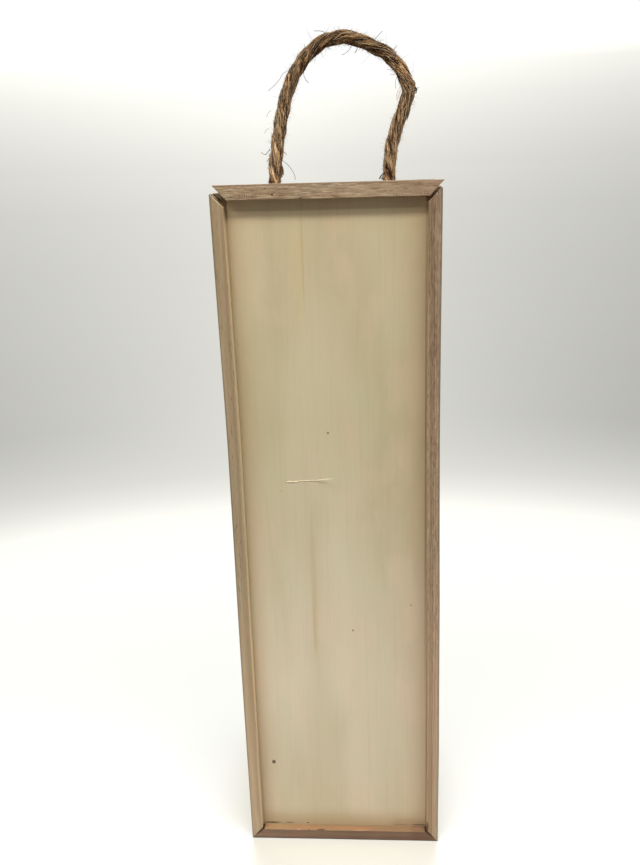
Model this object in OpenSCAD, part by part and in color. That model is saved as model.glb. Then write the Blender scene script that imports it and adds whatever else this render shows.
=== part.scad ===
// Wooden bottle holder: a mitred box with a sliding plywood lid and a rope handle.
// Millimetres. The origin is at the middle of the foot, the lid faces -Y and +Z is up.

/* [Box] */
// Width across the outside of the two side walls
box_w = 105; // [96:0.5:130]
// Depth from the front edges of the walls to their rear edges
box_d = 100; // [90:0.5:130]
// Height from the foot to the upper face of the top wall
box_h = 355; // [300:1:400]
// Thickness of the solid-wood walls
wall = 6.2; // [5:0.1:9]
// Depth of the grooves that hold the lid and the back panel
groove = 3; // [2:0.1:4]
// How far the lid and the back panel lie behind the edges of the walls
recess = 4.8; // [3:0.1:8]

/* [Lid] */
// Thickness of the plywood lid
lid_t = 3; // [2.4:0.1:4]
// Play in front of the lid and behind it in its grooves
lid_play = 0.2; // [0.1:0.05:0.4]
// Play between each side edge of a centred lid and the bottom of its groove
lid_side_play = 0.8; // [0.7:0.05:1.2]
// How far the lid sits to the right of the middle
lid_shift = 0.6; // [0:0.1:0.6]
// How far the pull rail stands above the walls when the lid is down
rail_raise = 3.2; // [0.5:0.1:6]
// How much shorter the pull rail is than the box is wide
rail_short = 1.2; // [1.2:0.1:3]

/* [Back] */
// Thickness of the plywood back panel
back_t = 3; // [2.4:0.1:4]
// Play between the edges of the back panel and the bottoms of its grooves
back_play = 0.2; // [0.1:0.05:0.4]

/* [Rope] */
// Diameter of the rope
rope_d = 6.5; // [5:0.1:8]
// Gap around the rope in its holes
hole_play = 0.35; // [0.3:0.05:0.8]
// Distance from the inner face of a side wall to the middle of the rope hole beside it, before the shift
hole_inset = 17.6; // [15:0.1:22]
// How far the pair of holes sits to the right of the middle
hole_shift = 0.5; // [-3:0.1:3]
// Height of the middle of the rope at its crest above the top wall
loop_rise = 70; // [55:0.5:100]
// Length of the frayed tail under each knot
tail_len = 12; // [8:0.5:20]

/* [Brads] */
// Diameter of the brads
pin_d = 1.2; // [1:0.1:1.6]
// Diameter of their heads
head_d = 2.2; // [1.8:0.1:2.8]
// Thickness of their heads
head_t = 0.6; // [0.4:0.1:1]
// Length of the brads through the mitred corners
pin_len = 16; // [12:0.5:20]
// Number of brads through each mitred corner
corner_pin_count = 3; // [2:1:5]
// Number of brads that hold the pull rail
rail_pin_count = 3; // [2:1:5]

/* [Hidden] */

$fn = 48;
// How far cuts run past the faces that they open
overrun = 1;

// Faces of the box
front = -box_d / 2;
back = box_d / 2;
inner_w = box_w - 2 * wall;
top_under = box_h - wall;

// Lid
lid_front = front + recess;
lid_back = lid_front + lid_t;
lid_foot = wall - groove;
lid_top = box_h + rail_raise;
lid_w = inner_w + 2 * groove - 2 * lid_side_play;
rail_len = box_w - rail_short;

// Back panel
back_face = back - recess;
back_w = inner_w + 2 * groove - 2 * back_play;

// Rope. The loop folds about an axis one rope radius above the top wall, so that its round end never
// enters its hole, and the rope in the hole stops just below.
rope_r = rope_d / 2;
hole_r = rope_r + hole_play;
hole_spacing = inner_w - 2 * hole_inset;
rope_xs = [hole_shift - hole_spacing / 2, hole_shift + hole_spacing / 2];
fold_z = box_h + rope_r;
fold_gap = 0.3;
neck_top = box_h - fold_gap;

// Route of the loop, from the left hole to the right one. The first number is a share of half the
// distance between the holes, and the second one a share of the crest's height above the fold axis.
route_shares = [
    [-1, 0], [-0.96, 0.14], [-0.9, 0.28], [-0.84, 0.42], [-0.77, 0.56], [-0.68, 0.69],
    [-0.53, 0.8], [-0.34, 0.9], [-0.11, 0.965], [0.14, 1], [0.38, 0.99], [0.6, 0.96],
    [0.82, 0.92], [1.02, 0.855], [1.19, 0.77], [1.31, 0.68], [1.335, 0.59], [1.27, 0.5],
    [1.17, 0.405], [1.09, 0.31], [1.03, 0.2], [1.01, 0.1], [1, 0]];
rope_sides = 12;
// Angles of the rings that round off each end of the loop
cap_angles = [80, 55, 28];

// Knots. Their width is a share of the rope's, and their flat seat lies at a share of their radius
// above their middle.
knot_width_share = 2.3;
knot_seat_share = 0.7;
knot_r = rope_d * knot_width_share / 2;
knot_z = top_under - knot_r * knot_seat_share;

// Brads. They are spread evenly over this share of the wall or rail that they go into.
pin_spread_share = 0.6;
rail_pin_depth_share = 0.7;

// Extrudes a flat outline, drawn in X and Z, from one depth to another.
module along_depth(from, to) {
    translate([0, to, 0])
        rotate([90, 0, 0])
            linear_extrude(to - from)
                children();
}

// A cut through the inner faces of the walls for the edge of a panel. The cut reaches the same
// distance into both sides and the foot, and up past the given height.
module panel_cut(from, to, upper) {
    translate([-inner_w / 2 - groove, from, wall - groove])
        cube([inner_w + 2 * groove, to - from, upper - wall + groove]);
}

module panel_cuts() {
    panel_cut(lid_front - lid_play, lid_back + lid_play, box_h + overrun);
    panel_cut(back_face - back_t, back_face, top_under + groove);
}

module side_wall() {
    difference() {
        along_depth(front, back)
            polygon([
                [-box_w / 2, 0],
                [-inner_w / 2, wall],
                [-inner_w / 2, top_under],
                [-box_w / 2, box_h]]);
        panel_cuts();
    }
}

module left_wall() {
    color("#a58c70")
        side_wall();
}

module right_wall() {
    color("#a0866b")
        mirror([1, 0, 0])
            side_wall();
}

module base_wall() {
    color("#94796a")
        difference() {
            along_depth(front, back)
                polygon([
                    [-box_w / 2, 0],
                    [box_w / 2, 0],
                    [inner_w / 2, wall],
                    [-inner_w / 2, wall]]);
            panel_cuts();
        }
}

// The top wall starts behind the lid, which slides up past its front edge.
module top_wall() {
    color("#a58c70")
        difference() {
            along_depth(lid_back + lid_play, back)
                polygon([
                    [-box_w / 2, box_h],
                    [box_w / 2, box_h],
                    [inner_w / 2, top_under],
                    [-inner_w / 2, top_under]]);
            panel_cut(back_face - back_t, back_face, top_under + groove);
            for (x = rope_xs)
                translate([x, 0, top_under - overrun])
                    cylinder(r = hole_r, h = wall + 2 * overrun);
        }
}

module back_panel() {
    color("#c3b18f")
        translate([-back_w / 2, back_face - back_t, wall - groove + back_play])
            cube([back_w, back_t, top_under - wall + 2 * groove - 2 * back_play]);
}

module lid_panel() {
    color("#c8b691")
        translate([lid_shift - lid_w / 2, lid_front, lid_foot])
            cube([lid_w, lid_t, lid_top - lid_foot]);
}

// The rail is the front slice of the top, glued to the lid, so its ends keep the mitre of the walls.
module lid_rail() {
    color("#a8906f")
        along_depth(front, lid_front)
            translate([lid_shift, lid_top])
                polygon([
                    [-rail_len / 2, 0],
                    [rail_len / 2, 0],
                    [rail_len / 2 - wall, -wall],
                    [wall - rail_len / 2, -wall]]);
}

function route_point(share) = [
    hole_shift + share[0] * hole_spacing / 2,
    0,
    fold_z + share[1] * (box_h + loop_rise - fold_z)];

function unit(v) = v / norm(v);

// The direction of the rope at point i: straight up or down at its ends, else along its neighbours.
function direction(points, i) =
    i == 0 ? [0, 0, 1]
    : i == len(points) - 1 ? [0, 0, -1]
    : unit(points[i + 1] - points[i - 1]);

// One ring of the rope, square to its direction, which lies in the plane of X and Z.
function ring(centre, dir, radius) = [
    for (k = [0 : rope_sides - 1])
        let (a = 360 * k / rope_sides)
        centre + radius * (cos(a) * [dir[2], 0, -dir[0]] + sin(a) * [0, 1, 0])];

module rope_loop() {
    points = [for (share = route_shares) route_point(share)];
    last = len(points) - 1;
    down = [0, 0, -1];
    start_rings = [for (a = cap_angles)
        ring(points[0] + rope_r * sin(a) * down, [0, 0, 1], rope_r * cos(a))];
    route_rings = [for (i = [0 : last]) ring(points[i], direction(points, i), rope_r)];
    end_rings = [for (i = [len(cap_angles) - 1 : -1 : 0])
        ring(points[last] + rope_r * sin(cap_angles[i]) * down, down, rope_r * cos(cap_angles[i]))];
    rings = concat(start_rings, route_rings, end_rings);
    n = rope_sides;
    sides = [
        for (j = [0 : len(rings) - 2], k = [0 : n - 1])
            let (a = j * n + k, b = j * n + (k + 1) % n)
            each [[a, b, b + n], [a, b + n, a + n]]];
    first_end = [for (k = [n - 1 : -1 : 0]) k];
    last_end = [for (k = [0 : n - 1]) (len(rings) - 1) * n + k];
    color("#8b7154")
        polyhedron([for (r = rings) each r], concat(sides, [first_end, last_end]));
}

module rope_neck(x) {
    color("#8b7154")
        translate([x, 0, top_under])
            cylinder(r = rope_r, h = neck_top - top_under);
}

module left_rope_neck() {
    rope_neck(rope_xs[0]);
}

module right_rope_neck() {
    rope_neck(rope_xs[1]);
}

// A ball that is flat where it bears on the top wall, with the rope's tail hanging from it.
module knot(x) {
    color("#8b7154")
        translate([x, 0, 0]) {
            difference() {
                translate([0, 0, knot_z])
                    sphere(r = knot_r);
                translate([-knot_r, -knot_r, top_under])
                    cube([2 * knot_r, 2 * knot_r, knot_r]);
            }
            translate([0, 0, knot_z - knot_r - tail_len])
                cylinder(r = rope_r, h = knot_r + tail_len);
        }
}

module left_knot() {
    knot(rope_xs[0]);
}

module right_knot() {
    knot(rope_xs[1]);
}

// A brad that points along +Z, with the outer face of its head at the origin.
module brad(length) {
    cylinder(r = head_d / 2, h = head_t);
    cylinder(r = pin_d / 2, h = length);
}

function spread(count, i, span) = span * pin_spread_share * (i / (count - 1) - 0.5);

module corner_pins() {
    color("silver")
        for (side = [-1, 1], z = [wall / 2, box_h - wall / 2], i = [0 : corner_pin_count - 1])
            translate([side * box_w / 2, spread(corner_pin_count, i, box_d), z])
                rotate([0, -90 * side, 0])
                    brad(pin_len);
}

module rail_pins() {
    color("silver")
        for (i = [0 : rail_pin_count - 1])
            translate([lid_shift + spread(rail_pin_count, i, rail_len), lid_back, lid_top - wall / 2])
                rotate([90, 0, 0])
                    brad(lid_t + rail_pin_depth_share * recess);
}

left_wall();
right_wall();
base_wall();
top_wall();
back_panel();
lid_panel();
lid_rail();
rope_loop();
left_rope_neck();
right_rope_neck();
left_knot();
right_knot();
corner_pins();
rail_pins();
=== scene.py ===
import math

import bmesh
import bpy
import numpy as np
from mathutils import Matrix, Vector, noise


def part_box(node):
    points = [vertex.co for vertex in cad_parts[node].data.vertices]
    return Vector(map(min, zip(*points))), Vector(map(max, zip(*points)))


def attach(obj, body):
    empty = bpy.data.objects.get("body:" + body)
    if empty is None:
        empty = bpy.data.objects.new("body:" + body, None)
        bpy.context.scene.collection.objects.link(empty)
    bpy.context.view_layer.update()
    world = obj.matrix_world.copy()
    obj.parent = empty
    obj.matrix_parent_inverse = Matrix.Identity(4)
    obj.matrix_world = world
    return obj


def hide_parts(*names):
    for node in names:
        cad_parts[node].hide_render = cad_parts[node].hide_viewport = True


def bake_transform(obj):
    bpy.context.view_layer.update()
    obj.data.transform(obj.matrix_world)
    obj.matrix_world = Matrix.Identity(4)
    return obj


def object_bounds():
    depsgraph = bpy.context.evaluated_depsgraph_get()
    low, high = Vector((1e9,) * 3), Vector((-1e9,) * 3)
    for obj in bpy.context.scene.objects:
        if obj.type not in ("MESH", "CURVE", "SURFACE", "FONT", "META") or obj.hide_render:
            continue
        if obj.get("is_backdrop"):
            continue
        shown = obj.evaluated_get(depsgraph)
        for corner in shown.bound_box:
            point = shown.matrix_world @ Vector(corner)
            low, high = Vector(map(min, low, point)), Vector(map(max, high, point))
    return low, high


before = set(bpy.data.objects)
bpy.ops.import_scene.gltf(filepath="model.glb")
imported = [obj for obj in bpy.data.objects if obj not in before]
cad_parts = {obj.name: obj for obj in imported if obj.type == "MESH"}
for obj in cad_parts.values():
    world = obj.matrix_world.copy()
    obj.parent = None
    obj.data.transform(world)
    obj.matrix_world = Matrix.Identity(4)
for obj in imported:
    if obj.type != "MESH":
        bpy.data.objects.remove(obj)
cadLow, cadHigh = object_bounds()
scene = bpy.context.scene
scene.view_settings.view_transform = "Standard"
mm = 0.001
print("frame loaded:", len(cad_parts), "solids")


# Camera, fitted to the corners of the box as they show in the photograph
shot = {
    "place": (23.3, -454.57, 365.52),  # mm
    "yaw": -4.153,  # degrees, to the right
    "pitch": 17.0,  # degrees, down
    "roll": -1.948,
    "lens": 36.28,  # mm
    "sensor": 36,  # mm, along the picture's long side
    "sees": (0.01, 200),  # metres
}


def newObject(name, data):
    made = bpy.data.objects.new(name, data)
    scene.collection.objects.link(made)
    return made


def turned(degrees, axis):
    return Matrix.Rotation(math.radians(degrees), 4, axis)


def makeCamera(values):
    data = bpy.data.cameras.new("camera")
    data.sensor_width, data.lens = values["sensor"], values["lens"]
    data.clip_start, data.clip_end = values["sees"]
    scene.camera = newObject("camera", data)
    turn = turned(-values["yaw"], "Z") @ turned(90 - values["pitch"], "X") @ turned(values["roll"], "Z")
    scene.camera.matrix_world = Matrix.Translation(Vector(values["place"]) * mm) @ turn


makeCamera(shot)


class Signal:
    # One socket of a node tree. Arithmetic on it adds Math nodes.
    def __init__(self, finish, socket):
        self.finish, self.socket = finish, socket

    def maths(self, operation, first, second=0.0):
        return self.finish.node("Math", {"operation": operation}, {0: first, 1: second})

    def __add__(self, other):
        return self.maths("ADD", self, other)

    def __sub__(self, other):
        return self.maths("SUBTRACT", self, other)

    def __rsub__(self, other):
        return self.maths("SUBTRACT", other, self)

    def __mul__(self, other):
        return self.maths("MULTIPLY", self, other)

    def __truediv__(self, other):
        return self.maths("DIVIDE", self, other)

    def __abs__(self):
        return self.maths("ABSOLUTE", self)

    def fraction(self):
        return self.maths("FRACT", self)

    __radd__, __rmul__ = __add__, __mul__


class Finish:
    # The node tree of a material or of the world, with the few moves that the finishes share.
    def __init__(self, owner):
        owner.use_nodes = True
        self.owner, self.tree = owner, owner.node_tree

    def feed(self, socket, value):
        if isinstance(value, Signal):
            self.tree.links.new(value.socket, socket)
        else:
            socket.default_value = value

    def node(self, kind, settings=None, inputs=None, output=0):
        made = self.tree.nodes.new("ShaderNode" + kind)
        for key, value in (settings or {}).items():
            if key == "stops":
                ramp = made.color_ramp.elements
                while len(ramp) < len(value):
                    ramp.new(1)
                for element, (place, shade) in zip(ramp, value):
                    element.position, element.color = place, shade
            else:
                setattr(made, key, value)
        for key, value in (inputs or {}).items():
            self.feed(made.inputs[key], value)
        return Signal(self, made.outputs[output])

    def surface(self, colour, rough, height=None, others=None):
        # The height of the relief is in millimetres.
        values = {"Base Color": colour, "Roughness": rough, **(others or {})}
        if height:
            values["Normal"] = self.node("Bump", inputs={"Height": height, "Distance": mm})
        for key, value in values.items():
            self.feed(self.tree.nodes["Principled BSDF"].inputs[key], value)

    def place(self, turn=(0, 0, 0), shift=(0, 0, 0), scale=1000):
        coordinates = self.node("TexCoord", output=3)
        return self.node("Mapping", {"vector_type": "POINT"},
                         {"Vector": coordinates, "Location": shift, "Rotation": turn, "Scale": (scale,) * 3})

    def vector(self, operation, first, second, output=0):
        return self.node("VectorMath", {"operation": operation}, {0: first, 1: second}, output)

    def length(self, vector):
        return self.vector("LENGTH", vector, (0, 0, 0), 1)

    def part(self, vector, axis):
        return self.node("SeparateXYZ", inputs={0: vector}, output=axis)

    def attribute(self, name, output=2):
        return self.node("Attribute", {"attribute_name": name}, output=output)

    def noise(self, where, stretch, detail=2.0, rough=0.5, output=0):
        scaled = self.vector("MULTIPLY", where, stretch)
        return self.node("TexNoise", inputs={"Vector": scaled, "Scale": 1.0, "Detail": detail,
                                             "Roughness": rough}, output=output)

    def rise(self, value, start, end):
        # From 0 to 1 as a value goes from start to end, whichever of these is higher.
        if start > end:
            return 1 - self.rise(value, end, start)
        return self.node("MapRange", {"interpolation_type": "SMOOTHSTEP"},
                         {"Value": value, "From Min": start, "From Max": end})

    def band(self, offset, width, soft):
        # 1 along the middle of a band and 0 beside it, with soft edges.
        return self.rise(abs(offset), (width + soft) / 2, (width - soft) / 2)

    def mix(self, share, first, second, blend="MIX"):
        # Colours of three numbers are from 0 to 255, as a screen shows them.
        first, second = (tone(c) if isinstance(c, tuple) and len(c) == 3 else c for c in (first, second))
        return self.node("Mix", {"data_type": "RGBA", "blend_type": blend},
                         {0: share, 6: first, 7: second}, output=2)

    def times(self, first, second, share=1.0):
        return self.mix(share, first, second, "MULTIPLY")

    def lay(self, colour, look, layers):
        # Layers: a value, where a shade starts and where it is full, its share, and its name.
        for value, start, end, share, shade in layers:
            colour = self.mix(self.rise(value, start, end) * share, colour, look[shade])
        return colour


def newFinish(name):
    return Finish(bpy.data.materials.new(name))


def tone(shade):
    return (*(c / 255 / 12.92 if c <= 10 else ((c / 255 + 0.055) / 1.055) ** 2.4 for c in shade), 1.0)


def newMesh(name, bm):
    mesh = bpy.data.meshes.new(name)
    bm.normal_update()
    bm.to_mesh(mesh)
    bm.free()
    return mesh


def placePiece(name, mesh, body, finish, replaced=(), smooth=True):
    piece = newObject(name, mesh)
    mesh.materials.append(finish.owner)
    mesh.polygons.foreach_set("use_smooth", [smooth] * len(mesh.polygons))
    if body:
        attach(piece, body)
    if replaced:
        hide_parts(*replaced)
    return piece


# Rope handle: one length of three-strand jute, from under the top wall over the loop and back
rope = {
    "thickness": 6.5,  # mm
    "holeMiddle": 0.5,  # mm, the middle between the two holes
    "holeReach": 28.7,  # mm, from there to each hole
    "start": 348.8,  # mm, the under face of the top wall
    "foldHeight": 358.25,  # mm, where the handle folds
    "rise": 66.75,  # mm, from there to the crest
    "route": [(-1, 0), (-0.972, 0.14), (-0.915, 0.28), (-0.852, 0.42), (-0.77, 0.56), (-0.66, 0.688),
              (-0.51, 0.798), (-0.325, 0.89), (-0.105, 0.956), (0.14, 0.984), (0.38, 0.98), (0.6, 0.947),
              (0.82, 0.902), (1.015, 0.85), (1.185, 0.77), (1.3, 0.68), (1.33, 0.59), (1.262, 0.5),
              (1.175, 0.405), (1.095, 0.31), (1.035, 0.2), (1.01, 0.1), (1, 0)],
    "lay": 31.5,  # mm along the rope for one turn of a strand
    "strandRadius": 2.05,  # mm
    "strandOffset": 1.18,  # mm, from the middle of the rope to that of a strand
    "uneven": ((0.34, 0.09), (0.16, 0.13), (0.07, 0.16)),  # of its turn, offset and size: how much, its pace
    "settle": 12,  # mm from an end, over which a strand becomes that uneven
    "frayed": (0.3, 2.3, 0.24),  # change of its turn, offset and size where the strands come apart
    "yarnTurn": 0.15,  # radians a mm, by which the yarns turn back in their strand
    "ringStep": 0.5,  # mm
    "sides": 54,
    "sway": (0.5, 25, 0.035),  # mm, by which the loop leaves its plane, over which height, and its pace
    "phase": 0.6,  # radians
}


def unit(vectors):
    return vectors / np.linalg.norm(vectors, axis=-1, keepdims=True)


def direction(angle, first, second):
    # At an angle from the first of two directions towards the second.
    return np.cos(angle)[..., None] * first + np.sin(angle)[..., None] * second


def distances(line):
    return np.concatenate([[0], np.cumsum(np.linalg.norm(np.diff(line, axis=0), axis=1))])


def throughPoints(points, step):
    # A smooth line through points, with even steps.
    p = np.array(points, float)
    p = np.vstack([2 * p[0] - p[1], p, 2 * p[-1] - p[-2]])
    t = np.linspace(0, 1, 24, endpoint=False)[:, None]
    spans = []
    for a, b, c, d in zip(p[:-3], p[1:-2], p[2:-1], p[3:]):
        spans.append(0.5 * (2 * b + (c - a) * t + (2 * a - 5 * b + 4 * c - d) * t**2
                            + (3 * b - a - 3 * c + d) * t**3))
    line = np.vstack([*spans, p[-2:-1]])
    along = distances(line)
    even = np.linspace(0, along[-1], int(along[-1] / step) + 1)
    return np.stack([np.interp(even, along, line[:, k]) for k in range(3)], axis=1)


def ropeFrames(line):
    # How far along each point lies, its direction, and two directions across that don't turn about it.
    ahead = unit(np.gradient(line, axis=0))
    across, firsts = np.cross((0, 1, 0), ahead[0]), []
    for forward in ahead:
        across = unit(across - (across @ forward) * forward)
        firsts.append(across)
    firsts = np.array(firsts)
    return distances(line), ahead, firsts, np.cross(ahead, firsts)


def slowNoise(values, pace, seed):
    return np.array([noise.noise(Vector((v * pace, seed, 0.37))) for v in values])


def strandHeight(x, y, z):
    # Bundles of fibres with narrow furrows between them: their height in mm and how full they are.
    bundle = abs(noise.noise(Vector((x * 0.8, y * 0.8, z * 0.055))))
    thread = abs(noise.noise(Vector((x * 1.9, y * 1.9, z * 0.11 + 9))))
    loose = noise.noise(Vector((x * 0.4, y * 0.4, z * 0.22 + 31)))
    return 0.5 * bundle + 0.3 * thread + 0.16 * loose - 0.2, min(1.0, 1.5 * bundle + 1.1 * thread)


def tubeFaces(base, rings, sides):
    # The faces of a closed tube whose rings of points start at a number.
    faces = []
    for ring in range(base, base + (rings - 1) * sides, sides):
        for k in range(sides):
            a, b = ring + k, ring + (k + 1) % sides
            faces.append((a, b, b + sides, a + sides))
    last = base + (rings - 1) * sides
    return [*faces, tuple(range(base + sides - 1, base - 1, -1)), tuple(range(last, last + sides))]


def pointValues(mesh, name, values):
    kind, key = ("FLOAT_VECTOR", "vector") if np.ndim(values) == 2 else ("FLOAT", "value")
    mesh.attributes.new(name, kind, "POINT").data.foreach_set(key, np.ravel(values))


def tubeMesh(name, points, faces, **attributes):
    mesh = bpy.data.meshes.new(name)
    mesh.from_pydata((np.array(points) * mm).tolist(), [], faces)
    for key, values in attributes.items():
        pointValues(mesh, key, values)
    return mesh


def laidRope(name, line, values, phase, fray=0.0):
    # Three strands laid round a line in mm. The strands come apart over the last fray mm.
    along, ahead, first, second = ropeFrames(line)
    total, size, sides, rings = along[-1], values["strandRadius"], values["sides"], len(along)
    settled = np.clip(np.minimum(along, total if fray else total - along) / values["settle"], 0, 1)
    loose = np.clip((along - total + fray) / fray, 0, 1) if fray else 0 * along
    around = np.linspace(0, 2 * math.pi, sides, endpoint=False)
    around = around - 0.5 * np.sin(around)  # closer together on the outer side
    spread, apart, thinner = values["frayed"]
    points, faces, fibres, depths, fullness = [], [], [], [], []
    for strand in range(3):
        turn, shift, swell = (settled * amount * slowNoise(along, pace, 7.3 * strand + 1.1 + 2 * k)
                              for k, (amount, pace) in enumerate(values["uneven"]))
        angle = phase + 2 * math.pi * (strand / 3 - along / values["lay"]) + turn
        angle = angle + loose * spread * (strand - 1)
        offset = values["strandOffset"] + shift + apart * loose**1.5
        radius = size * (1 + swell - thinner * loose)
        out = direction(angle, first, second)
        middle = line + offset[:, None] * out
        forward = unit(np.gradient(middle, axis=0))
        out = unit(out - (out * forward).sum(1)[:, None] * forward)
        side = np.cross(forward, out)
        faces += tubeFaces(len(points), rings, sides)
        for i, s in enumerate(along):
            yarn = around - values["yarnTurn"] * s
            fibre = np.stack([size * np.cos(yarn), size * np.sin(yarn), 0 * yarn + s + 60 * strand], axis=1)
            relief = np.array([strandHeight(*spot) for spot in fibre])
            reach = radius[i] + relief[:, 0] * (0.25 + 0.75 * settled[i])
            ring = middle[i] + reach[:, None] * direction(around, out[i], side[i])
            away = ring - line[i]
            away = away - (away @ ahead[i])[:, None] * ahead[i]
            points.extend(ring)
            fibres.extend(fibre)
            fullness.extend(relief[:, 1])
            depths.extend(np.linalg.norm(away, axis=1))
    mesh = tubeMesh(name, points, faces, fibre=fibres, depth=depths, fullness=fullness)
    return mesh, (along, ahead, first, second)


juteLook = {
    "brown": (112, 80, 48), "straw": (155, 122, 83), "red": (144, 98, 74), "green": (134, 119, 82),
    "light": (220, 186, 141), "dark": (44, 23, 10), "creaseShade": (40, 20, 8),
    "crest": (206, 180, 146), "crestShadeShare": 0.8, "crestShadeFrom": (385.0, 428.0),  # mm, heights
    "rightLegShade": (243, 238, 232), "rightLegShadeFrom": (8.0, 30.0),  # mm
}
looseLook = {
    **juteLook, "pale": (198, 172, 138), "dark": (82, 56, 34), "grey": (74, 68, 58),
    "crest": (178, 170, 152), "crestShadeShare": 0.7,
}


def shadedTowardsCrest(f, colour, look):
    # Darker towards the crest, by height: a painted shade.
    high = f.rise(f.part(f.place(), 2), *look["crestShadeFrom"])
    return f.times(colour, look["crest"], high * look["crestShadeShare"])


def ropeFinish(name, look):
    f = newFinish(name)
    fibre, depth, full = f.attribute("fibre", 1), f.attribute("depth"), f.attribute("fullness")
    bundles = f.noise(fibre, (1.0, 1.0, 0.14))
    threads = f.noise(fibre, (1.6, 1.6, 0.2), rough=0.65)
    hairs = f.noise(fibre, (3.1, 3.1, 0.36), rough=0.6)
    patches = f.noise(fibre, (0.3, 0.3, 0.08))
    breaks = f.noise(fibre, (0.9, 0.9, 0.3))
    colour = f.mix(f.rise(bundles, 0.38, 0.62), look["brown"], look["straw"])
    # Where the bundles are least full, in the furrows between them, the dark colour is a painted shade.
    colour = f.lay(colour, look, [
        (patches, 0.52, 0.7, 0.5, "red"), (patches, 0.46, 0.3, 0.45, "green"),
        (threads, 0.545, 0.6, 0.88, "light"), (threads, 0.475, 0.4, 0.95, "dark"),
        (full, 0.36, 0.12, 0.85, "dark"), (hairs, 0.55, 0.61, 0.74, "light"),
        (hairs, 0.445, 0.38, 0.9, "dark"),
    ])
    # Darker deep in the creases between the strands: a painted shade.
    creaseShade = f.rise(depth, 3.05, 2.55) * f.rise(breaks, 0.22, 0.42)
    colour = shadedTowardsCrest(f, f.mix(creaseShade * 0.9, colour, look["creaseShade"]), look)
    # Darker towards the right leg: a painted shade.
    colour = f.times(colour, look["rightLegShade"], f.rise(f.part(f.place(), 0), *look["rightLegShadeFrom"]))
    height = bundles * 0.1 + threads * 0.22 + hairs * 0.08
    f.surface(colour, 0.9 - threads * 0.12, height, {"Sheen Weight": 0.03, "Specular IOR Level": 0.12})
    return f


def ropeRoute(values):
    reach, fold, start = values["holeReach"], values["foldHeight"], values["start"]
    points = [(values["holeMiddle"] + x * reach, 0, fold + z * values["rise"]) for x, z in values["route"]]
    low, high = ([(x, 0, z) for z in (start, start + 4.5)] for x in (points[0][0], points[-1][0]))
    line = throughPoints(low + points + high[::-1], values["ringStep"])
    sway, height, pace = values["sway"]
    rise = np.clip((line[:, 2] - fold) / height, 0, 1)
    line[:, 1] += sway * rise * slowNoise(np.arange(len(line)) * values["ringStep"], pace, 4.2)
    return line


jute = ropeFinish("jute", juteLook)
ropeLine = ropeRoute(rope)
ropeMesh, ropeSpans = laidRope("ropeHandle", ropeLine, rope, rope["phase"])
ropeHandle = placePiece("ropeHandle", ropeMesh, None, jute,
                        ("rope_loop", "left_rope_neck", "right_rope_neck"))

# Knots under the top wall: a loose overhand knot, pulled tight a little at a time
knot = {
    "spacing": 1.6,  # mm between the points that are pulled
    "lead": [(8, -3, 0), (3.5, -5.6, 0), (1.2, -4.8, 0)],  # how the rope comes to the loose knot
    "looseSize": 5.0,  # mm, of one unit in that
    "closeness": 0.88,  # share of the rope's thickness that two turns keep between their middles
    "apart": 1.5,  # in the same measure, how far apart along the rope they count as two turns
    "pulls": 560,
    "pull": 0.4,  # how far each pull straightens the line
    "pushes": 4,
    "push": 0.16,  # how far each push moves turns that are too close
    "tail": 13,  # mm below the knot
    "frayed": 9.0,  # mm of that
    "inHole": 1.2,  # mm of rope
    "level": 0.36,  # a step that climbs less than this is part of a turn
    "ringStep": 0.62,  # mm
    "sides": 26,
}


def pullTight(values, thickness):
    t = np.linspace(math.pi + 0.12, 3 * math.pi - 0.12, 25)
    turns = np.stack([np.sin(t) + 2 * np.sin(2 * t), np.cos(t) - 2 * np.cos(2 * t),
                      -1.15 * np.sin(3 * t)], axis=1)
    lead = np.array(values["lead"])
    line = np.vstack([lead, turns, (lead * (-1, 1, 1))[::-1]]) * values["looseSize"]
    line = throughPoints(line - (line[0] + line[-1]) / 2, values["spacing"])
    keep = thickness * values["closeness"]
    for _ in range(values["pulls"]):
        first, last = line[0].copy(), line[-1].copy()
        line[1:-1] += values["pull"] * (0.5 * (line[:-2] + line[2:]) - line[1:-1])
        order = np.arange(len(line)) * values["spacing"]
        far = np.abs(order[:, None] - order[None, :]) > thickness * values["apart"]
        for _ in range(values["pushes"]):
            gap = line[:, None] - line[None, :]
            reach = np.linalg.norm(gap, axis=2) + 1e-9
            push = np.where(far & (reach < keep), (keep - reach) / reach, 0) * values["push"]
            line += (gap * push[:, :, None]).sum(1)
            line[0], line[-1] = first, last
        line = throughPoints(line, values["spacing"])
    return line[:, [1, 2, 0]]


def knotLine(values, pulled, thickness, x, seat, mirrored):
    # The pulled line upright under its hole, with its turns bearing on the top wall, down to the tail.
    line = throughPoints(pulled * ((-1, -1, 1) if mirrored else (1, 1, 1)), 0.6)
    turns = line[np.abs(np.gradient(line[:, 2])) < values["level"], 2]
    top, foot = turns.max() + thickness / 2, turns.min() - thickness / 2
    start = np.argmax(line[:, 2] < top)
    end = start + np.argmax(line[start:, 2] < foot - values["tail"])
    line = line[start:end]
    line = line - (*line[0, :2], top) + (x, 0, seat)
    return throughPoints(np.vstack([[(x, 0, seat + values["inHole"])], line[2::3]]), values["ringStep"])


pulled = pullTight(knot, rope["thickness"])
endPhase = rope["phase"] - 2 * math.pi / rope["lay"] * ropeSpans[0][-1]
knots, knotSpans = [], []  # the pieces, and the line, directions and phase of each
for label, side, phase in (("left", -1, math.pi - rope["phase"]), ("right", 1, endPhase)):
    hole = rope["holeMiddle"] + side * rope["holeReach"]
    line = knotLine(knot, pulled, rope["thickness"], hole, rope["start"], side > 0)
    mesh, spans = laidRope(label + "Knot", line, {**rope, "sides": knot["sides"]}, phase, knot["frayed"])
    knots.append(placePiece(label + "Knot", mesh, "box", jute, (label + "_knot",)))
    knotSpans.append((line, spans, phase))
    print(label, "knot:", round(float(spans[0][-1]), 1), "mm of rope, from",
          np.round(line.min(0), 1).tolist(), "to", np.round(line.max(0), 1).tolist())

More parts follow.
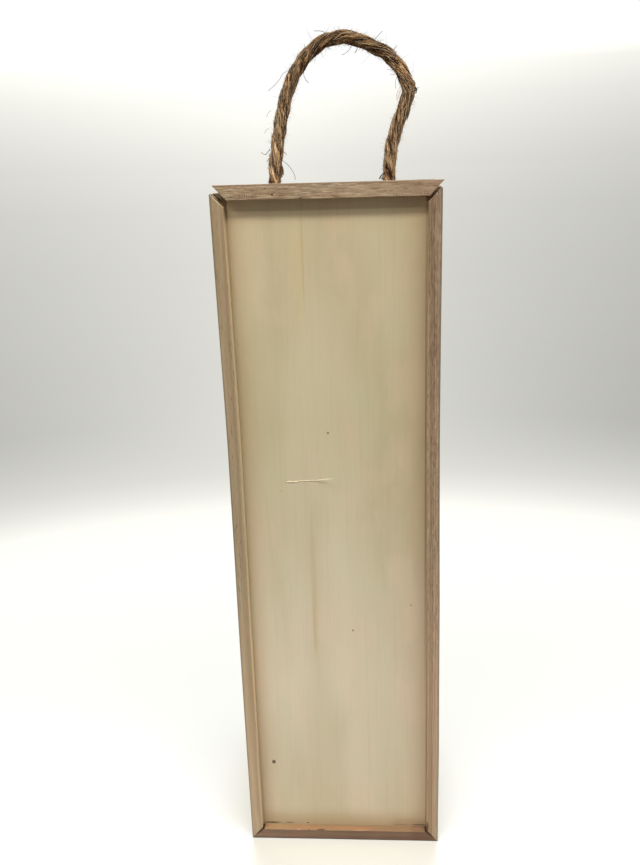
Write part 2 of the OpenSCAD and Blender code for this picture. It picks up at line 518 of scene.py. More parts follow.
# Loose fibres: wisps that lie along the strands, short fuzz, a tuft at each tail, and hairs that stand out
fuzz = {
    "seed": 11,
    "knotShare": 0.12,  # how many wisps and fuzz each knot gets, as a share of the rope's
    "wisps": 1150,
    "wispLength": (4.0, 12.0),  # mm
    "wispThickness": (0.12, 0.42),  # mm
    "wispTurn": (-0.085, 0.04),  # radians a mm about the rope, and how much it varies
    "wispLies": (0.42, 0.04),  # mm, how far it follows the creases, and how high it lies
    "wispLift": 1.1,  # mm, the most by which its end may lift
    "noWisps": (347, 359),  # mm, the heights of the hole
    "count": 2100,
    "thickness": 0.1,  # mm
    "length": (0.7, 2.2),  # mm
    "noFuzz": (347.5, 357.5),  # mm
    "low": (372, 1.6),  # mm, a height below which fuzz is at most so long
    "tuft": 46,  # fibres in each tail
    "tuftLength": (4, 8.5),  # mm
    "tuftThickness": 0.2,  # mm
    "hairs": [  # those that stand out: shade, thickness and depth in mm, and points across and up in mm
        ("grey", 0.25, -2, [(-23.9, 368.8), (-22, 367.4), (-20.5, 365.8), (-19.3, 364.2),
         (-18.3, 362.5), (-17.8, 360.9), (-17.7, 359.2)]),
        ("grey", 0.36, -1, [(-29.6, 374.4), (-30.9, 373), (-32, 371.8)]),
        ("grey", 0.3, -1, [(-31.8, 371.6), (-32.7, 371.9), (-33.4, 372.2), (-34.2, 372.9)]),
        ("grey", 0.3, -1, [(-30, 370.3), (-31.1, 369.1), (-31.8, 368.2)]),
        ("grey", 0.3, -1, [(-23.8, 373.2), (-22.4, 372.4), (-21.6, 371.3)]),
        ("dusty", 0.26, (-1, -2, -2.5, -3, -3), [(-19, 410.4), (-21.9, 408.5), (-23.2, 406.4),
         (-25.7, 403.8), (-29, 401.2)]),
        ("grey", 0.26, -1, [(-10.9, 411.6), (-11.6, 409), (-11.5, 407.4), (-10.7, 405.6), (-9.4, 404.3)]),
        ("grey", 0.28, 0, [(0.4, 426), (-2.8, 427.2), (-6, 427.4)]),
        ("grey", 0.28, (0, -1, -1), [(23.2, 422.6), (24.8, 424.2), (26.6, 425.8)]),
        ("dusty", 0.26, (0, -1, -1), [(31, 416.4), (32.4, 417.9), (33.5, 419.4)]),
        ("grey", 0.26, (-1, -2, -2.5, -3), [(12.8, 422.4), (11.6, 419.4), (9.6, 417.2), (7.2, 415.9)]),
        ("grey", 0.3, -1, [(14.9, 420.6), (14.4, 418.4), (13.2, 416.6)]),
        ("pale", 0.26, (-1, -1.5, -1.5, -1), [(33.6, 405.9), (32.7, 403.7), (32.6, 401.6), (32.8, 400.1)]),
        ("pale", 0.26, (-1, -1.5, -1.5, -1), [(35.6, 401.6), (33.9, 399.1), (33.2, 397.1), (33.4, 394.8)]),
        ("pale", 0.26, (-1, -1.5, -1), [(35.8, 400.4), (34.4, 397.8), (33.9, 395.6)]),
        ("pale", 0.24, (-1, -1.5, -1.5), [(32.6, 408), (30.4, 408.6), (28.8, 408.7)]),
        ("pale", 0.24, (-1, -1.5, -1.5), [(33, 406.9), (31.4, 406.2), (30, 406.8)]),
        ("pale", 0.26, (-1, -1.5, -1.5), [(-28.4, 392.4), (-29.8, 391.2), (-30.6, 389.4)]),
        ("pale", 0.26, (-1, -1.5, -1.5), [(-29.8, 384), (-31.2, 383.4), (-31.9, 381.8)]),
        ("brown", 0.85, -1, [(-25, 369.4), (-24.4, 366.8), (-24.1, 363.6), (-24.6, 360.6)]),
        ("brown", 0.5, -1.4, [(-24.6, 367), (-23.6, 364.6), (-23.5, 361.6)]),
        ("grey", 0.8, -2, [(27.2, 361.6), (25.2, 359.9), (24.3, 358.3)]),
        ("grey", 0.6, -1.6, [(27.2, 360.8), (26, 359.5), (25.4, 358.1)]),
        ("dusty", 0.7, -1.8, [(27.2, 360.2), (26.3, 358.9), (25.9, 358)]),
        ("grey", 0.9, -1, [(41.2, 403.4), (41.9, 401.9), (41.7, 401)]),
        ("grey", 1, -1, [(41.4, 401), (42.3, 400), (42.8, 399.1), (42.3, 398.6)]),
        ("dusty", 0.8, -1, [(41.8, 399.4), (42.6, 398.4), (42.3, 397.6)]),
        ("grey", 0.3, -1, [(42.7, 399.4), (43.4, 400), (43.9, 400.2)]),
    ],
}
fibreShades = {"dark": 0.0, "brown": 0.3, "pale": 1.0, "dusty": 1.5, "grey": 2.0}


def fibreMesh(name, fibres):
    # Each fibre is a three-sided tube along a line, with a thickness at each point and one shade.
    points, faces, shades = [], [], []
    corners = np.array([0, 2 * math.pi / 3, 4 * math.pi / 3])[None]
    for line, thickness, shade in fibres:
        line = np.array(line, float)
        ahead = unit(np.gradient(line, axis=0))
        across = unit(np.cross(ahead, (0.31, 0.9, 0.29)))
        radius = (np.broadcast_to(thickness, len(line)) / 2)[:, None, None]
        rings = line[:, None] + radius * direction(corners, across[:, None], np.cross(ahead, across)[:, None])
        faces += tubeFaces(len(points), len(line), 3)
        points.extend(rings.reshape(-1, 3))
        shades.extend([shade] * 3 * len(line))
    return tubeMesh(name, points, faces, shade=shades)


def thinning(thickness, count):
    # A root of full thickness that thins towards the tip.
    return thickness * (1 - 0.65 * np.linspace(0, 1, count)**1.5)


def curled(start, forward, length, curl, steps=4):
    # A short fibre that leaves its start in a direction and bends.
    share = np.linspace(0, 1, steps + 1)[:, None]
    return start + length * (share * forward + share**2 * curl)


def wisp(draw, line, spans, phase, values):
    # A flat bundle that lies on the strands, bridges their creases and may lift at its end.
    along, _, first, second = spans
    start, length = draw.uniform(0, along[-1] - 3), draw.uniform(*values["wispLength"])
    pace = draw.normal(*values["wispTurn"])
    begin, lift = draw.uniform(0, 2 * math.pi), values["wispLift"] * draw.random()**5
    size = draw.uniform(*values["wispThickness"])
    share = np.linspace(0, 1, 9)
    at = np.minimum(start + share * length, along[-1])
    i = np.clip(np.searchsorted(along, at), 0, len(along) - 1)
    angle = begin + pace * (at - start)
    third = 2 * math.pi / 3
    lean = (angle - phase + 2 * math.pi / rope["lay"] * at + third / 2) % third - third / 2
    offset, radius = rope["strandOffset"], rope["strandRadius"]
    reach = offset * np.cos(lean) + np.sqrt(radius**2 - (offset * np.sin(lean))**2)
    crease, above = values["wispLies"]
    reach = np.maximum(reach, offset + radius - crease) + above + lift * share**4
    path = line[i] + reach[:, None] * direction(angle, first[i], second[i])
    return path, size * (0.2 + 0.8 * np.sin(math.pi * share)**0.6)


def looseFibres(values):
    draw = np.random.default_rng(values["seed"])
    fibres = []
    for shade, thickness, depth, hair in values["hairs"]:
        points = [(x, y, z) for (x, z), y in zip(hair, np.broadcast_to(depth, len(hair)))]
        fibres.append((throughPoints(points, 0.7), thickness, fibreShades[shade]))
    spots = [(ropeLine, ropeSpans, rope["phase"], 1.0)] + [(*spot, values["knotShare"]) for spot in knotSpans]
    low, high = values["noWisps"]
    for line, spans, phase, share in spots:
        for _ in range(int(values["wisps"] * share)):
            path, thickness = wisp(draw, line, spans, phase, values)
            shade = draw.beta(0.6, 0.6)
            if (path[:, 2] >= high).all() or (path[:, 2] <= low).all():
                fibres.append((path, thickness, shade))
    low, high = values["noFuzz"]
    for line, (along, ahead, first, second), phase, share in spots:
        for _ in range(int(values["count"] * share)):
            i, turn = draw.integers(len(line)), draw.uniform(0, 2 * math.pi)
            lean, twist, side = draw.uniform(-1.1, 1.1), draw.normal(0, 0.5), draw.normal(0, 0.45, 3)
            length = draw.uniform(*values["length"]) * (1 + draw.random()**7)
            shade = draw.uniform(0, 1)
            if low < line[i, 2] < high:
                continue
            if line[i, 2] < values["low"][0]:
                length = min(length, values["low"][1])
            out = direction(turn, first[i], second[i])
            start = line[i] + out * (rope["thickness"] / 2 - 0.3)
            forward = out * draw.uniform(0.35, 1) + ahead[i] * lean + np.cross(ahead[i], out) * twist
            path = curled(start, unit(forward), length, side)
            fibres.append((path, thinning(values["thickness"], 5), shade))
    for line, spans, _ in knotSpans:
        ahead, first, second = (s[-1] for s in spans[1:])
        for _ in range(values["tuft"]):
            turn, reach = draw.uniform(0, 2 * math.pi), draw.uniform(0, 4.2)
            out = direction(turn, first, second)
            start = line[-1] + out * reach - ahead * 3
            forward = ahead + out * draw.uniform(0, 0.5)
            path = curled(start, forward, draw.uniform(*values["tuftLength"]), draw.normal(0, 0.2, 3), 5)
            fibres.append((path, thinning(values["tuftThickness"], 6), draw.random()))
    return fibreMesh("ropeFibres", fibres)


def fibreFinish(name, look):
    f = newFinish(name)
    shade = f.attribute("shade")
    colour = f.mix(f.rise(shade, fibreShades["dark"], fibreShades["pale"]), look["dark"], look["pale"])
    colour = f.mix(f.rise(shade, fibreShades["pale"], fibreShades["grey"]), colour, look["grey"])
    f.surface(shadedTowardsCrest(f, colour, look), 0.8, None, {"Specular IOR Level": 0.3})
    return f


looseJute = fibreFinish("looseJute", looseLook)
ropeFibres = placePiece("ropeFibres", looseFibres(fuzz), None, looseJute)
for piece in (ropeHandle, ropeFibres):
    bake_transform(piece)
tuple(ropeLine[0] * mm)
rope["thickness"] * mm
(ropeLine[::3] * mm).tolist()
print("knots and fibres:", len(ropeFibres.data.polygons), "faces of fibre")


# Boards: copies of the solids with eased and worn edges
wearing = {
    "keepOff": 7.0,  # mm from the ends that stay sharp
    "corner": 0.25,  # by how much a normal leans where an edge wears
    "coarse": 90,  # fineness of the two patterns of wear, and the share of the second
    "fine": 260,
    "fineShare": 0.4,
    "least": 0.1,
}
markReach = 1.2  # mm, how far in front of a mark's middle, and behind it, the mark still shows


def boardFrom(node):
    bm = bmesh.new()
    bm.from_mesh(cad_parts[node].data)
    bmesh.ops.remove_doubles(bm, verts=bm.verts, dist=1e-6)
    bmesh.ops.dissolve_limit(bm, angle_limit=0.02, verts=bm.verts, edges=bm.edges)
    return bm


def easeEdges(bm, width, segments=2, chosen=None):
    sharp = [e for e in bm.edges if len(e.link_faces) == 2 and e.calc_face_angle() > math.radians(25)
             and (chosen is None or chosen(e))]
    bmesh.ops.bevel(bm, geom=sharp, offset=width * mm, segments=segments, profile=0.5,
                    affect="EDGES", material=-1, clamp_overlap=True)


def cutAcross(bm, axis, at):
    normal = Vector([float(axis == k) for k in range(3)])
    bmesh.ops.bisect_plane(bm, geom=[*bm.verts, *bm.edges, *bm.faces], plane_co=normal * at,
                           plane_no=normal, dist=1e-7)


def wearEdges(bm, axis, step, amount, seed, values):
    # Cuts a board across its grain every step mm, then wears its long edges unevenly.
    low = min(v.co[axis] for v in bm.verts) + values["keepOff"] * mm
    high = max(v.co[axis] for v in bm.verts) - values["keepOff"] * mm
    for at in np.arange(low, high, step * mm):
        cutAcross(bm, axis, at)
    bm.normal_update()
    for v in bm.verts:
        corner = min(abs(v.normal[k]) for k in range(3) if k != axis)
        if corner > values["corner"] and low + step * mm * 0.5 < v.co[axis] < high - step * mm * 0.5:
            chip = noise.noise(v.co * values["coarse"] + Vector((seed, 0, 0)))
            chip += values["fineShare"] * noise.noise(v.co * values["fine"])
            v.co -= v.normal * amount * mm * max(0.0, chip + values["least"])


def bandsAndMarks(f, where, colour, look):
    # Bands run along a board at a place on one axis, and may wander. Marks are small soft ovals. All in mm.
    wander = f.noise(where, (0.03, 0.03, 0.03)) - 0.5
    for axis, middle, width, soft, drift, shade, share in look.get("bands", []):
        offset = f.part(where, axis) - middle
        if drift:
            offset = offset + wander * drift
        colour = f.mix(f.band(offset, width, soft) * share, colour, shade)
    for y, marks in look.get("marks", {}).items():
        for x, z, wide, high, shade, share in marks:
            offset = f.vector("SUBTRACT", where, (x, y, z))
            spread = f.length(f.vector("MULTIPLY", offset, (2 / wide, 1 / markReach, 2 / high)))
            colour = f.mix(f.rise(spread, 1.0, 0.45) * share, colour, shade)
    return colour


def paintedShadeByHeight(f, where, colour, stops):
    # Multiplies a colour by shares that change with the height in mm: painted light and shade by height.
    top = stops[-1][0]
    stops = [(z / top, (*shares, 1.0)) for z, shares in stops]
    return f.times(colour, f.node("ValToRGB", {"stops": stops}, {0: f.part(where, 2) / top}))


def nickRow(f, where, colour, row, look):
    # A row of small dark nicks with pale wood between them, along a board at a height. All in mm.
    start, end, height, pitch, share = row
    wobble = f.noise(where, (0.5, 0.5, 0.5)) - 0.5
    x, z = f.part(where, 0), f.part(where, 2)
    inside = f.band(x - (start + end) / 2, end - start, 3.0)
    inside = inside * f.band(z - height + wobble * 0.5, 0.5, 0.4) * share
    dark = f.rise(abs(((x + wobble * 1.4) / pitch).fraction() - 0.5), 0.15, 0.35)
    colour = f.mix(inside * dark, colour, look["nick"])
    return f.mix(inside * (1 - dark) * 0.4, colour, look["nickEdge"])


def seam(f, where, colour, side, look):
    # The dark joint of a lower corner: it runs at 45 degrees and widens towards the inside.
    x, z = f.part(where, 0), f.part(where, 2)
    line = f.rise(abs(x * side + z - look["corner"]) - z * 0.13, 0.5, 0.0)
    return f.mix(line * f.rise(z, 0.8, 4.4) * look["seamShare"], colour, look["seam"])


def woodFinish(name, look):
    # Solid wood with the grain along one axis: rings round a far-off heart, pores, fibres and patches.
    f = newFinish(name)
    where = f.place()
    board = f.place((0, math.pi / 2 if look["grain"] == 0 else 0, 0), look["shift"])
    drift = f.vector("SUBTRACT", f.noise(board, (0.03, 0.03, 0.006), output=1), (0.5, 0.5, 0.5))
    drifted = f.vector("ADD", board, f.vector("MULTIPLY", drift, (9, 9, 9)))
    reach = f.length(f.vector("MULTIPLY", drifted, (1, 1, 0)))
    late = f.rise((reach / look["ringWidth"]).fraction(), 0.35, 0.95)
    dashes = f.noise(f.vector("ADD", board, (3, 70, 11)), look["dashSize"], rough=0.6)
    streaks = f.noise(board, (0.42, 0.42, 0.012), 3.0, 0.6)
    fibres = f.noise(board, (5.0, 5.0, 0.14), 3.0, 0.6)
    patches = f.noise(board, (0.1, 0.1, 0.035))
    tints = f.noise(f.vector("ADD", board, (40, 9, 13)), (0.16, 0.16, 0.05))
    cells = f.node("TexVoronoi", {"feature": "F1"},
                   {"Vector": f.vector("MULTIPLY", board, look["poreSize"]), "Scale": 1.0})
    pores = f.rise(cells, 0.3, 0.12) * f.rise(f.noise(board, (0.3, 0.3, 0.02)), 0.4, 0.58)
    facing = f.node("TexCoord", output=1)
    end = f.rise(abs(f.part(facing, look["grain"])), 0.5, 0.68)
    busy = f.rise(f.part(where, 2), *look["calmBelow"])
    colour = f.mix(f.rise(streaks, 0.34, 0.66), look["dark"], look["light"])
    colour = f.lay(colour, look, [(patches, 0.5, 0.66, look["tintShare"], "red"),
                                  (tints, 0.52, 0.68, look["tintShare"], "green")])
    colour = f.mix(late * look["ringShare"], colour, look["ring"])
    colour = f.lay(colour, look, [(fibres, 0.5, 0.72, 0.2, "light"), (fibres, 0.48, 0.28, 0.22, "ring")])
    colour = f.mix(f.rise(dashes, 0.55, 0.65) * busy * look["dashShare"], colour, look["pale"])
    colour = f.mix(f.rise(dashes, 0.45, 0.35) * busy * look["dashShare"], colour, look["pore"])
    colour = f.mix(pores * busy * look["poreShare"], colour, look["pore"])
    colour = f.mix(end * look["endShare"], colour, look["end"])
    # Stripes across the end faces, among them painted highlights on the mitres.
    for y, width, shade, share in look.get("endBands", []):
        colour = f.mix(f.band(f.part(where, 1) - y, width, 0.5) * end * share, colour, shade)
    axis, sign, inner, innerShare = look["inner"]  # painted light: a lighter colour on the faces that look one way, such as the inner faces of the sides and the upper faces of the base
    paintedFaceLightMask = f.rise(f.part(facing, axis) * sign, 0.5, 0.8) * innerShare
    if "innerFade" in look:  # heights over which it comes, and over which it goes again
        z, fade = f.part(where, 2), look["innerFade"]
        paintedFaceLightMask = paintedFaceLightMask * f.rise(z, *fade[:2]) * f.rise(z, *fade[2:])
    colour = f.mix(paintedFaceLightMask, colour, inner)
    # Lighter rounded edges: partly wear, partly a painted highlight.
    colour = f.lay(colour, look, [(f.attribute("worn"), 0.3, 0.9, look["wornShare"], "worn")])
    colour = bandsAndMarks(f, where, colour, look)
    for row in look.get("nicks", []):
        colour = nickRow(f, where, colour, row, look)
    for side in look.get("seams", []):
        colour = seam(f, where, colour, side, look)
    if "along" in look:
        colour = paintedShadeByHeight(f, where, colour, look["along"])
    height = fibres * 0.05 - pores * 0.14 + late * 0.02
    f.surface(colour, 0.72 - fibres * 0.16, height, {"Specular IOR Level": 0.3})
    return f


# Values in mm, and colours from 0 to 255. The grain runs along axis 0 or 2, and shift moves the pattern.
# wear: a cut every so far, by how much edges wear, and a seed. gap: of the left and right mitre. tip: width
# and depth. bend: heights, and how far aside. along: heights, and shares of red, green and blue: painted
# light and shade by height. The code above unpacks bands, marks, nicks, endBands and the painted light on
# some faces, and names what they hold.
plainBoard = {
    "body": "box", "slot": "frame_wood", "edge": 0.3,
    "grain": 2, "shift": (38, 30, 0), "ringWidth": 2.6, "ringShare": 0.3, "poreShare": 0.45,
    "poreSize": (1.6, 1.6, 0.16), "tintShare": 0.4, "wornShare": 0.3, "endShare": 0.55,
    "dashSize": (2.0, 2.0, 0.28), "dashShare": 0.3, "calmBelow": (40, 190), "pale": (188, 166, 134),
    "dark": (146, 124, 98), "light": (168, 148, 119), "red": (164, 136, 112),
    "green": (150, 140, 110), "ring": (124, 100, 74), "pore": (92, 70, 50),
    # Lighter edges, partly wear and partly painted highlight; the painted light on faces that look one way is
    # off here.
    "end": (116, 92, 66), "worn": (196, 170, 134), "inner": (0, 1, (206, 182, 142), 0.0),
    "nick": (92, 64, 44), "nickEdge": (190, 166, 132), "corner": 52.5, "seam": (54, 32, 16),
    "seamShare": 0.88,
}
boards = {
    "leftSide": {
        **plainBoard, "node": "left_wall", "wear": (5.0, 0.08, 3.1),
        "bend": ((0, 45, 110, 145, 190, 233, 254, 293, 330, 355),
                 (0.05, -0.06, -0.08, 0.05, 0.33, 0.54, 0.42, 0.02, -0.3, -0.46)),
        # Painted light on the inner face, which fades in and out by height.
        "shift": (120, 30, 0), "inner": (0, 1, (204, 181, 140), 0.9),
        "innerFade": (5, 130, 347, 339), "seams": [-1], "ringShare": 0.14, "dashShare": 0.13,
        "dark": (151, 129, 101), "light": (164, 143, 114),
        # Pale stripes on the mitre face are painted highlights, with a dark stripe between them.
        "endBands": [
            (-49.6, 1.2, (206, 190, 152), 0.8), (-47.6, 1.6, (84, 64, 34), 0.85),
            (-45, 2.4, (226, 214, 178), 0.9),
        ],
        "bands": [
            (0, -52.4, 1.1, 0.7, 0, (112, 96, 76), 0.65), (0, -47.6, 1.4, 1, 0.8, (132, 106, 74), 0.4),
        ],
        "marks": {-50: [(-51.75, 222, 1.4, 140, (112, 96, 76), 0.65)]},
        # Painted light and shade by height: lighter towards the foot and darker above.
        "along": [(0, (1.15, 1.15, 1.18)), (60, (1.21, 1.22, 1.22)), (180, (0.92, 0.94, 0.925)),
                  (355, (0.98, 0.975, 0.915))],
    },
    "rightSide": {
        **plainBoard, "node": "right_wall", "wear": (5.0, 0.1, 5.7), "tip": (0.4, -42.0),
        "bend": ((0, 21, 60, 100, 150, 190, 240, 290, 327, 355),
                 (0, 0.05, 0.25, 0.1, 0, -0.35, -0.62, -0.48, -0.25, -0.1)),
        "shift": (-20, 44, 60), "ringWidth": 1.9, "ringShare": 0.35,
        "seams": [1], "dashShare": 0.6, "dashSize": (1.9, 1.9, 0.24),
        # A pale stripe on the mitre face: a painted highlight.
        "endBands": [(-49.8, 1, (196, 170, 136), 0.6)],
        "dark": (142, 118, 92), "light": (162, 138, 111), "ring": (114, 88, 62),
        # Lighter edges, partly wear and partly painted highlight, and painted light on the inner face.
        "worn": (176, 150, 120), "inner": (0, -1, (180, 156, 120), 0.7),
        "bands": [
            (0, 47.7, 1.9, 1, 1.6, (112, 84, 58), 0.5), (0, 50.6, 1.5, 1, 2.6, (168, 136, 116), 0.22),
            (0, 49, 0.4, 0.35, 1.8, (84, 58, 38), 0.55), (0, 50.1, 0.3, 0.3, 3, (88, 62, 44), 0.45),
            (0, 47, 0.3, 0.3, 1.2, (176, 150, 118), 0.4), (0, 52.3, 1.3, 0.9, 0, (120, 110, 96), 0.75),
        ],
        "marks": {-50: [
            (46.6, 9.6, 1.7, 9, (70, 46, 24), 0.9), (51.6, 240, 1.6, 200, (118, 106, 88), 0.7),
        ]},
        # Painted light and shade by height: lighter towards the foot and darker towards the top.
        "along": [(0, (1.2, 1.22, 1.22)), (90, (1.2, 1.22, 1.24)), (180, (0.96, 0.96, 0.96)),
                  (355, (0.8, 0.79, 0.76))],
    },
    "baseBoard": {
        **plainBoard, "node": "base_wall", "slot": "base_wood", "wear": (4.0, 0.2, 8.2), "gap": (0.9, 0.5),
        "grain": 0, "shift": (30, -60, 20), "tintShare": 0.55, "ringShare": 0.15,
        "dark": (105, 81, 62), "light": (125, 100, 79), "red": (122, 88, 73),
        # Lighter edges, partly wear and partly painted highlight, and painted light on the faces that look
        # up.
        "green": (104, 91, 70), "ring": (86, 64, 46), "worn": (146, 114, 84),
        "end": (70, 50, 34), "endShare": 0.85, "inner": (2, 1, (150, 118, 80), 0.85),
        "bands": [
            # The first band, along the bottom, is a painted contact shadow.
            (2, 0, 1.3, 0.8, 0, (66, 54, 44), 0.75), (0, 6, 70, 56, 0, (84, 64, 50), 0.25),
            (0, 46, 62, 56, 0, (84, 62, 46), 0.25), (0, 44, 12, 5, 0, (78, 54, 38), 0.4),
        ],
        "seams": [-1, 1],
        "marks": {
            -50: [(-20, 6.1, 1, 0.8, (70, 48, 30), 0.8), (-13.1, 6.2, 6.8, 0.6, (62, 42, 26), 0.85),
                  (-26, 6.2, 3.5, 0.5, (176, 136, 98), 0.6), (9, 6.3, 14, 0.5, (178, 138, 96), 0.5)],
            -48.4: [(-20, 6.3, 26, 1.6, (152, 106, 74), 0.5)],
            -48.2: [(4, 6.3, 38, 1.6, (154, 105, 72), 0.6)],
            -47.6: [(-44.4, 6.2, 3.4, 1.6, (120, 86, 52), 0.6), (43, 6.2, 10, 1.6, (134, 102, 82), 0.5)],
        },
    },
    "topBoard": {
        **plainBoard, "node": "top_wall", "tip": (0.7, 60.0),
        # Its end and its front edge show in the mitre gaps: the darker end colour and the band at the front
        # edge are end grain with painted shade of those gaps.
        "grain": 0, "shift": (60, 35, 0), "end": (84, 54, 26), "endShare": 0.95,
        "bands": [(1, -42, 2.2, 1, 0, (92, 70, 48), 0.8)],
    },
    "pullRail": {
        **plainBoard, "node": "lid_rail", "body": "lid", "edge": 0.25, "wear": (1.6, 0.14, 6.4),
        "bow": {"at": (-51, 0, 52), "top": (0.42, 0.2, -0.2), "foot": (-0.04, -0.6, -0.8),
                "reach": (-0.25, 0, 0.65), "cuts": (-50, 52, 4)},
        "grain": 0, "shift": (45, -25, 0), "poreShare": 0.8, "poreSize": (1.5, 1.5, 0.13),
        "dark": (142, 117, 90), "light": (164, 141, 111), "red": (163, 130, 106),
        "dashSize": (1.7, 1.7, 0.2), "dashShare": 0.7,
        "bands": [
            (2, 358.3, 0.9, 0.6, 0, (118, 96, 72), 0.55), (0, 50, 44, 38, 0, (132, 106, 82), 0.4),
        ],
        "nicks": [
            (-41.5, -27.5, 353.9, 0.85, 0.9), (-41.5, -35, 352.95, 0.85, 0.8),
            (38, 47, 352.35, 0.9, 0.8), (30, 35, 352.3, 1.1, 0.7),
        ],
        "marks": {-50: [
            (-27.3, 356.6, 1, 0.9, (84, 58, 38), 0.85), (-24.1, 353.8, 1.4, 1.2, (62, 38, 22), 0.95),
            (-11.5, 351.7, 1.6, 1.2, (52, 32, 18), 0.9), (-38.1, 355.2, 4, 0.7, (122, 98, 62), 0.65),
            (-42.3, 353.3, 1.2, 0.9, (108, 80, 58), 0.7),
            (-44.6, 351.9, 2.6, 0.9, (198, 168, 134), 0.6), (36.1, 354.5, 4, 0.8, (112, 90, 58), 0.65),
            (32, 355.2, 2, 0.7, (112, 88, 58), 0.6), (29.4, 353.9, 2.8, 0.7, (108, 82, 54), 0.6),
        ]},
    },
}


def bentBy(values, z):
    # How far a side board has bent aside at a height, both in mm.
    return float(np.interp(z, *values["bend"]))


def openMitres(bm, gap):
    # The lower mitres have opened a little on their inner side.
    crest = max(v.co.z for v in bm.verts)
    for v in bm.verts:
        if v.co.z > crest - 1e-5:
            v.co.x += mm * (gap[0] if v.co.x < 0 else -gap[1])


def warpRail(bm, bow):
    middle = sum(v.co.z for v in bm.verts) / len(bm.verts)
    for at in np.arange(*bow["cuts"]) * mm:
        cutAcross(bm, 0, at)
    for v in bm.verts:
        x = v.co.x / mm
        v.co.z += mm * np.interp(x, bow["at"], bow["top" if v.co.z > middle else "foot"])
        v.co.x += mm * np.interp(x, bow["at"], bow["reach"])


def bluntTip(bm, width, depth):
    # The tips at the upper right are blunt, up to a depth in mm.
    cutAcross(bm, 1, depth * mm)
    crest, right = (max(v.co[k] for v in bm.verts) - 1e-5 for k in (2, 0))
    easeEdges(bm, width, 1, lambda e: all(
        v.co.z > crest and v.co.x > right and v.co.y < depth * mm + 1e-5 for v in e.verts))


def placeBoard(name, bm, values, finish):
    piece = placePiece(name, newMesh(name, bm), values["body"], finish, (values["node"],))
    piece.modifiers.new("evenNormals", "WEIGHTED_NORMAL").keep_sharp = True
    return piece.data


for name, values in boards.items():
    bm = boardFrom(values["node"])
    if "gap" in values:
        openMitres(bm, values["gap"])
    if "bow" in values:
        warpRail(bm, values["bow"])
    if "tip" in values:
        bluntTip(bm, *values["tip"])
    easeEdges(bm, values["edge"])
    if "wear" in values:
        wearEdges(bm, values["grain"], *values["wear"], wearing)
    if "bend" in values:
        for v in bm.verts:
            v.co.x += mm * bentBy(values, v.co.z / mm)
    mesh = placeBoard(name, bm, values, woodFinish(name + "Wood", values))
    # How far each normal leans between the board's own directions: 1 on a rounded edge, which the finish
    # makes lighter, partly as wear and partly as a painted highlight
    pointValues(mesh, "worn", [min(1.0, sorted(abs(c) for c in v.normal)[1] * 1.5) for v in mesh.vertices])
    print("board:", name, len(mesh.polygons), "faces")

